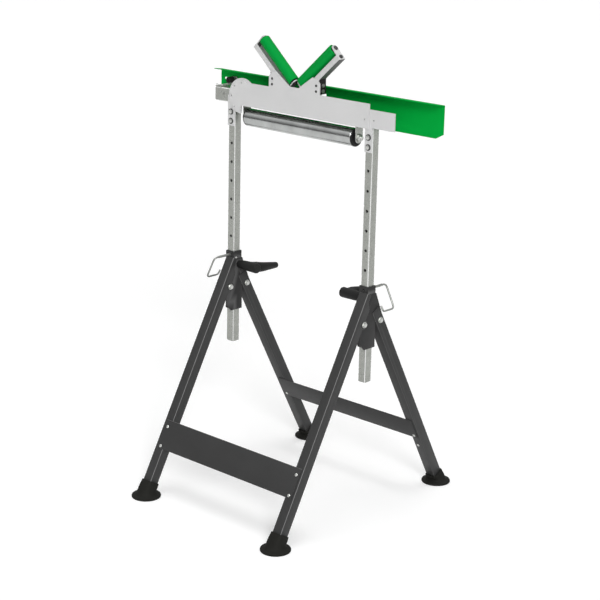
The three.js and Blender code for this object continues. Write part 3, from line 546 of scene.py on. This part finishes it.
for side, way in ends:
    bm = bmesh.new()
    capPlace = roller["centre"] + right * (way * (roller["half"] + roller["capOut"]))
    turned(bm, capProfile, right * -way, capPlace, 72)
    finishPiece(side + "RollerCap", bm, "steel_roller_body", blackNylon, [side + "_roller_cap"])
    bm = bmesh.new()
    nutPlace = roller["centre"] + right * (way * roller["nutFrom"])
    hexHead(bm, nutPlace, right * way, roller["nut"], roller["nutHeight"], roller["nutChamfer"])
    turned(bm, domeProfile, right * way, nutPlace, 32)
    finishPiece(side + "AxleNut", bm, "head", zincPlate, [side + "_axle_nut"])
bm = bmesh.new()
turned(bm, rollerAxle, right, roller["centre"] - right * roller["axleHalf"], 32)
finishPiece("steelRollerAxleBar", bm, "head", zincPlate, ["steel_roller_axle"])
print("steel roller made")

# V rollers: green sleeve with recessed ends, nylon bearings, fixed axles with round heads
vee = {"centre": -12.0, "y": -3.5, "half": 14.3, "z": 1158.4, "angle": math.radians(42)}
sleeveProfile = [(9.0, 1.2), (11.6, 1.2), (12.2, 0.0), (13.8, 0.0), (15.0, 1.2), (15.0, 148.8), (13.8, 150.0),
                 (12.2, 150.0), (11.6, 148.8), (9.0, 148.8), (9.0, 1.2)]
bearingProfile = [(4.06, 0.6), (6.2, 0.6), (6.8, 1.4), (8.9, 1.4), (8.9, 148.6), (6.8, 148.6), (6.2, 149.4),
                  (4.06, 149.4), (4.06, 0.6)]
axleProfile = [(0, -8.8), (5.2, -8.8), (6.5, -7.6), (6.5, -6.3), (4.0, -6.3), (4.0, 156.3), (6.5, 156.3),
               (6.5, 157.6), (5.2, 158.8), (0, 158.8)]


def veeAxis(way):
    return Vector((way * math.cos(vee["angle"]), 0, math.sin(vee["angle"])))


for side, way in ends:
    start = Vector((vee["centre"] + way * vee["half"], vee["y"], vee["z"]))
    bm = bmesh.new()
    turned(bm, sleeveProfile, veeAxis(way), start, 72)
    finishPiece(side + "VRollerSleeve", bm, side + "_v_roller_body", greenPvc,
                [side + "_v_roller"])
    bm = bmesh.new()
    turned(bm, bearingProfile, veeAxis(way), start, 48)
    finishPiece(side + "VRollerBearing", bm, side + "_v_roller_body", blackNylon)
    bm = bmesh.new()
    turned(bm, axleProfile, veeAxis(way), start, 32)
    finishPiece(side + "VAxleBar", bm, "v_head", darkSteel, [side + "_v_axle"])
print("V rollers made")

# clamp levers: moulded hub with a blunt end, and a tapered handle that leaves it in a wide bend,
# thickest at the elbow
clamp = {"y": 2.0, "z": 613.0, "faces": {"left": 19.0, "right": 16.0}, "reach": 62.0, "length": 86.0,
         "droop": 7.0, "root": 12.0, "elbow": 15.0, "tip": 8.6, "bend": 40.0, "blunt": 0.8, "least": 0.4,
         "bendSteps": 10, "tipSteps": 6}
stud = {"from": 12.9, "share": 0.5, "radius": 5.0, "chamfer": 0.8}
hubProfile = [(0, 0), (9.5, 0), (10.5, 1.0), (10.5, 4.0), (12.0, 12.0), (13.2, 20.0), (13.8, 28.0), (14.2, 70.0),
              (13.4, 73.0), (11.4, 74.6), (0, 75.0)]
for side, x, inward in sides:
    face = x + inward * clamp["faces"][side]
    elbow = face + inward * clamp["reach"]
    start = Vector((elbow, clamp["y"], clamp["z"]))
    end = start + Vector((0, clamp["length"], -clamp["droop"]))
    along = (end - start).normalized()
    path = roundedPath([start - right * (inward * clamp["length"]), start, end], clamp["bend"],
                       clamp["bendSteps"])[1:]
    half = len(path) // 2
    handle = (end - path[half]).length
    radii = [clamp["root"] + (clamp["elbow"] - clamp["root"]) * i / half for i in range(half)]
    radii += [clamp["elbow"] + (clamp["tip"] - clamp["elbow"]) * (point - path[half]).length / handle
              for point in path[half:]]
    for i in range(1, clamp["tipSteps"] + 1):
        turn = math.pi / 2 * i / clamp["tipSteps"]
        path.append(end + along * clamp["tip"] * clamp["blunt"] * math.sin(turn))
        radii.append(max(clamp["tip"] * math.cos(turn), clamp["least"]))
    bm = bmesh.new()
    turned(bm, hubProfile, right * inward, (face, clamp["y"], clamp["z"]), 40)
    swept(bm, path, radii, 32)
    finishPiece(side + "ClampLever", bm, side + "_lever", blackNylon, [side + "_clamp_lever"])
    bm = bmesh.new()
    studFrom = x + inward * stud["from"]
    studLength = abs(elbow - studFrom) * stud["share"]
    studProfile = [(0, 0), (stud["radius"] - stud["chamfer"], 0), (stud["radius"], stud["chamfer"]),
                   (stud["radius"], studLength), (0, studLength)]
    turned(bm, studProfile, right * inward, (studFrom, clamp["y"], clamp["z"]), 28)
    finishPiece(side + "LeverStud", bm, side + "_lever", zincPlate, [side + "_lever_stud"])
print("levers made")

# lock pins bent from one bar: rod through the sleeve, wire handle beside it
pin = {"z": 640.0, "tip": 13.2, "out": 76.0, "drop": 62.0, "lean": math.radians(27), "back": 45.0, "rise": 14.0,
       "rod": 3.5, "wire": 2.5, "rodEnd": 60.0, "wireFrom": 62.0, "bend": 12.0, "bendSteps": 9,
       "tipLength": 1.2, "tipChamfer": 1.0, "endChamfer": 0.8}
for side, x, inward in sides:
    way = -inward
    shift = math.tan(pin["lean"])
    low = pin["z"] - pin["drop"]
    corners = [(x, way * pin["tip"], pin["z"]), (x, way * pin["out"], pin["z"]),
               (x + way * pin["drop"] * shift, way * pin["out"], low),
               (x + way * pin["drop"] * shift, way * (pin["out"] - pin["back"]), low),
               (x + way * (pin["drop"] - pin["rise"]) * shift, way * (pin["out"] - pin["back"]),
                low + pin["rise"])]
    bend = roundedPath(corners, pin["bend"], pin["bendSteps"])
    path = [bend[0], bend[0] + rear * (way * pin["tipLength"]), Vector((x, way * pin["rodEnd"], pin["z"])),
            Vector((x, way * pin["wireFrom"], pin["z"]))] + bend[1:]
    path.append(path[-1] + (path[-1] - path[-2]).normalized() * pin["endChamfer"])
    radii = [pin["rod"] - pin["tipChamfer"], pin["rod"], pin["rod"]] + [pin["wire"]] * len(bend)
    radii.append(pin["wire"] - pin["endChamfer"])
    bm = bmesh.new()
    swept(bm, path, radii, 20)
    finishPiece(side + "LockPinBar", bm, side + "_pin", zincWire, [side + "_lock_pin"])
print("pins made")

# rail knobs: fluted grip with a stepped face, and the bolts through the rail's slots
knob = {"places": (("left", -312.0), ("right", 5.0)), "z": 1123.3, "back": 50.4, "length": 18.0, "radius": 9.0,
        "sides": 64, "flutes": 8, "fluteDepth": 0.07, "round": 1.6, "rim": 2.6, "step": 0.8, "sunk": 1.2}
railBolt = {"from": 36.4,
            "profile": [(0, 0), (3, 0), (3, 19.9), (6, 19.9), (6, 20.6), (5.2, 22.2), (3.4, 23.2), (0, 23.4)]}
for side, x in knob["places"]:
    bm = bmesh.new()
    ring = bmesh.ops.create_circle(bm, cap_ends=True, segments=knob["sides"], radius=knob["radius"])["verts"]
    for v in ring:
        turn = math.atan2(v.co.y, v.co.x)
        v.co *= 1 - knob["fluteDepth"] * (0.5 - 0.5 * math.cos(knob["flutes"] * turn))
    made = bmesh.ops.extrude_face_region(bm, geom=list(ring[0].link_faces))
    bmesh.ops.translate(bm, vec=(0, 0, knob["length"]), verts=onlyKind(made, bmesh.types.BMVert))
    topFace = onlyKind(made, bmesh.types.BMFace)[0]
    bmesh.ops.recalc_face_normals(bm, faces=bm.faces)
    bevelEdges(bm, list(topFace.edges), knob["round"], 3)
    topFace = max((f for f in bm.faces if len(f.verts) > 4), key=lambda f: f.calc_center_median().z)
    bmesh.ops.inset_region(bm, faces=[topFace], thickness=knob["rim"], depth=0.0)
    bmesh.ops.inset_region(bm, faces=[topFace], thickness=knob["step"], depth=-knob["sunk"])
    bmesh.ops.transform(bm, matrix=facing(-rear, (x, knob["back"], knob["z"])), verts=bm.verts)
    finishPiece(side + "KnobGrip", bm, side + "_knob", blackNylon, [side + "_rail_knob"])
    bm = bmesh.new()
    turned(bm, railBolt["profile"], rear, (x, railBolt["from"], knob["z"]), 32)
    finishPiece(side + "RailBoltRound", bm, "head", zincPlate, [side + "_rail_bolt"])

# swing nut inside the beam
swingNut = {"place": (-207, -10.0, 1094), "radius": 9.5, "height": 5.0}
bm = bmesh.new()
hexHead(bm, swingNut["place"], rear, swingNut["radius"], swingNut["height"])
finishPiece("swingNutHex", bm, "v_head", zincPlate, ["swing_nut"])

# brace rivets: low domed heads on the braces and upset tails behind the leg webs;
# a place is X, distance along the leg and face of the brace
rivet = {"radius": 4.4, "height": 1.8, "tail": 3.4,
         "front": ((-240.0, -431.0, -30.8), (-240.0, -488.0, -30.8), (252.5, -431.0, -30.8),
                   (252.5, -488.0, -30.8)),
         "rear": ((-240.0, -428.0, -18.3), (252.5, -428.0, -18.3), (252.5, -469.0, -16.5)),
         "back": {"front": -27.0, "rear": -14.5}}
rivetProfile = [(0, -1.0), (rivet["radius"], -1.0), (rivet["radius"], 0.3), (rivet["radius"] * 0.8, 1.2),
                (rivet["radius"] * 0.45, 1.7), (0, rivet["height"])]
tailProfile = [(0, -1.0), (rivet["tail"], -1.0), (rivet["tail"], 0.8), (rivet["tail"] * 0.75, 1.6), (0, 1.8)]
for pair, place in (("front", frontPlace), ("rear", rearPlace)):
    bm = bmesh.new()
    for x, along, face in rivet[pair]:
        turned(bm, rivetProfile, -rear, (x, face, along), 20)
        turned(bm, tailProfile, rear, (x, rivet["back"][pair], along), 16)
    bmesh.ops.transform(bm, matrix=place, verts=bm.verts)
    finishPiece(pair + "BraceRivets", bm, pair + "_legs", zincPlate)

# black blocks round the arm feet, behind the ears, which stand for the shade on the arm feet, with nuts on their
# outer faces
shadeBlock = {"near": 40.4, "far": 75.0, "front": -16.15, "back": 9.3, "low": 1136.1, "edge": 0.7, "underArm": 36.3}
blockNut = {"y": -3.4, "radius": 5.6, "height": 3.4, "chamfer": 0.6}
earScrew = {"x": 80, "z": (1144.3, 1159.6), "headFrom": -19.3, "shankFrom": -18.0, "shank": 2.0,
            "shankLength": 30.5, "nutFrom": 9.3, "nut": 5.2, "nutHeight": 4.0, "nutChamfer": 0.6}
for side, way in ends:
    bm = bmesh.new()
    bmesh.ops.create_cube(bm, size=1.0)
    for v in bm.verts:
        out = shadeBlock["far"] if v.co.x > 0 else shadeBlock["near"]
        top = vee["z"] + out * math.tan(vee["angle"]) - shadeBlock["underArm"] / math.cos(vee["angle"])
        v.co = Vector((vee["centre"] + way * (vee["half"] + out), shadeBlock["back"] if v.co.y > 0 else shadeBlock["front"],
                       top if v.co.z > 0 else shadeBlock["low"]))
    bmesh.ops.recalc_face_normals(bm, faces=bm.faces)
    bevelEdges(bm, sharpEdges(bm, 30), shadeBlock["edge"], 2)
    finishPiece(side + "ArmShadeBlock", bm, "v_head", blackNylon)
bm = bmesh.new()
for _, way in ends:
    for z in earScrew["z"]:
        outerFace = vee["centre"] + way * (vee["half"] + shadeBlock["far"])
        hexHead(bm, (outerFace, blockNut["y"], z), right * way, blockNut["radius"], blockNut["height"],
                blockNut["chamfer"])
finishPiece("blockNuts", bm, "v_head", zincWire)

# screws with low round heads: through the ears into the arm feet, on the sleeve, on the rail brackets and
# under the hangers; hexagon heads at the arm ends
screwProfile = [(0, 1.5), (1.2, 1.5), (1.2, 2.1), (2.4, 1.9), (3.2, 1.2), (3.6, 0.3), (3.6, 0.0), (0, 0.0)]
armEnd = {"reach": 156.0, "drop": 28.0, "radius": 5.4, "height": 3.6, "chamfer": 0.7}
sleeveScrew = (-234.5, -6.0, 631.0)
beamScrew = {"railShift": 10, "railZ": 1113.6, "hangerX": 211.0, "hangerY": 8, "hangerZ": 1069.0}


def screwHead(bm, centre, axis):
    turned(bm, screwProfile, axis, centre, 24)


bm = bmesh.new()
for _, way in ends:
    for z in earScrew["z"]:
        x = vee["centre"] + way * earScrew["x"]
        screwHead(bm, (x, earScrew["headFrom"], z), -rear)
        turned(bm, barProfile(earScrew["shank"], earScrew["shankLength"]), rear,
               (x, earScrew["shankFrom"], z), 16)
        hexHead(bm, (x, earScrew["nutFrom"], z), rear, earScrew["nut"], earScrew["nutHeight"],
                earScrew["nutChamfer"])
cosine, sine = math.cos(vee["angle"]), math.sin(vee["angle"])
for _, way in ends:
    x = vee["centre"] + way * (vee["half"] + armEnd["reach"] * cosine + armEnd["drop"] * sine)
    z = vee["z"] + armEnd["reach"] * sine - armEnd["drop"] * cosine
    hexHead(bm, (x, vee["y"], z), veeAxis(way), armEnd["radius"], armEnd["height"], armEnd["chamfer"])
finishPiece("earScrews", bm, "v_head", darkSteel)
bm = bmesh.new()
screwHead(bm, sleeveScrew, right)
finishPiece("sleeveScrew", bm, "base", zincPlate)
bm = bmesh.new()
for _, x in knob["places"]:
    for shift in (-beamScrew["railShift"], beamScrew["railShift"]):
        screwHead(bm, (x + shift, 0, beamScrew["railZ"]), up)
for _, way in ends:
    for shift in (-beamScrew["hangerY"], beamScrew["hangerY"]):
        screwHead(bm, (roller["centre"].x + way * beamScrew["hangerX"], roller["centre"].y + shift,
                       beamScrew["hangerZ"]), -up)
finishPiece("beamScrews", bm, "head", zincPlate)
print("small parts made")

# pale floor, which glows a little where it is seen so that it is white, and keeps the shadow
stage = {"size": 40.0, "color": "#f2f2f2", "rough": 0.9, "glowShare": 0.2, "glow": 1.9}
floorMesh = bpy.data.meshes.new("floorSheet")
bm = bmesh.new()
bmesh.ops.create_grid(bm, x_segments=1, y_segments=1, size=stage["size"])
bm.to_mesh(floorMesh)
bm.free()
floor = bpy.data.objects.new("floorSheet", floorMesh)
bpy.context.scene.collection.objects.link(floor)
material, tree, shader, _ = newMaterial("paleFloor", {"Base Color": hexColor(stage["color"]),
                                                      "Roughness": stage["rough"], "Specular IOR Level": 0.0})
lightPath = addNode(tree, "ShaderNodeLightPath")
mirrored = addNode(tree, "ShaderNodeMath", {"operation": "MAXIMUM"},
                   {0: lightPath.outputs["Is Glossy Ray"], 1: lightPath.outputs["Is Transmission Ray"]})
seen = addNode(tree, "ShaderNodeMath", {"operation": "MAXIMUM"},
               {0: lightPath.outputs["Is Camera Ray"], 1: mirrored.outputs[0]})
share = addNode(tree, "ShaderNodeMath", {"operation": "MULTIPLY", 1: stage["glowShare"]}, {0: seen.outputs[0]})
glow = addNode(tree, "ShaderNodeEmission", {"Color": (1, 1, 1, 1), "Strength": stage["glow"]})
mixed = addNode(tree, "ShaderNodeMixShader",
                links={0: share.outputs[0], 1: shader.outputs[0], 2: glow.outputs[0]})
tree.links.new(mixed.outputs[0], tree.nodes["Material Output"].inputs["Surface"])
floorMesh.materials.append(material)

# white to the camera, dim to the object; reflections see a dim horizon under a bright ceiling, as in a studio
studio = {"ambient": 0.33, "horizonZ": 0.1, "ceilingZ": 0.55, "horizon": 0.1, "ceiling": 0.9}
world = bpy.data.worlds.new("studio")
bpy.context.scene.world = world
world.use_nodes = True
tree = world.node_tree
back = tree.nodes["Background"]
lightPath = addNode(tree, "ShaderNodeLightPath")
sky = addNode(tree, "ShaderNodeTexCoord")
split = addNode(tree, "ShaderNodeSeparateXYZ", links={0: sky.outputs["Generated"]})
ceiling = addNode(tree, "ShaderNodeMapRange",
                  {fromMin: studio["horizonZ"], fromMax: studio["ceilingZ"], toMin: studio["horizon"],
                   toMax: studio["ceiling"]}, {0: split.outputs[2]})
mirrorShare = addNode(tree, "ShaderNodeMix", {"data_type": "FLOAT", floatA: studio["ambient"]},
                      {0: lightPath.outputs["Is Glossy Ray"], floatB: ceiling.outputs[0]})
bright = addNode(tree, "ShaderNodeMix", {"data_type": "FLOAT", floatB: 1.0},
                 {0: lightPath.outputs["Is Camera Ray"], floatA: mirrorShare.outputs[0]})
back.inputs["Color"].default_value = (1, 1, 1, 1)
tree.links.new(bright.outputs[0], back.inputs["Strength"])


# a lamp that shines along a direction
def addLamp(name, data, way):
    lamp = bpy.data.objects.new(name, data)
    lamp.rotation_mode = "QUATERNION"
    lamp.rotation_quaternion = way.to_track_quat("-Z", "Y")
    bpy.context.scene.collection.objects.link(lamp)
    return lamp


def areaLight(name, place, target, size, power):
    data = bpy.data.lights.new(name, "AREA")
    data.shape, data.size, data.energy = "DISK", size, power
    addLamp(name, data, Vector(target) - Vector(place)).location = place


def sunLight(name, source, angle, power):
    data = bpy.data.lights.new(name, "SUN")
    data.angle, data.energy = math.radians(angle), power
    addLamp(name, data, -Vector(source))


# an even soft light from the right and above keeps the floor white to the top of the picture
sunLight("keyLight", source=(0.68, -0.5, 0.45), angle=16, power=1.45)
sunLight("topLight", source=(0.05, -0.1, 1.0), angle=32, power=1.1)
# a weak soft light beside the camera for the glints on bolts and rollers
areaLight("cameraLight", place=(3.2, -3.4, 2.2), target=(0, 0, 0.7), size=1.0, power=30)

# camera at the photograph's viewing angle, place in mm and focal length in pixels
view = {"focal": 1669.863, "pixels": 600.0, "sensor": 36.0, "clipEnd": 200.0, "yaw": math.radians(42.549),
        "pitch": math.radians(90 - 16.432), "roll": math.radians(1.223), "place": (2991.66, -3249.45, 1858.48)}
lens = bpy.data.cameras.new("photoCamera")
lens.sensor_width = view["sensor"]
lens.lens = view["focal"] * view["sensor"] / view["pixels"]
lens.clip_end = view["clipEnd"]
camera = bpy.data.objects.new("photoCamera", lens)
bpy.context.scene.collection.objects.link(camera)
camera.matrix_world = (Matrix.Translation((Vector(view["place"]) + home) / mmPerMetre)
                       @ Matrix.Rotation(view["yaw"], 4, "Z") @ Matrix.Rotation(view["pitch"], 4, "X")
                       @ Matrix.Rotation(view["roll"], 4, "Z"))
bpy.context.scene.camera = camera
bpy.context.scene.view_settings.view_transform = "Standard"
print("stage set")
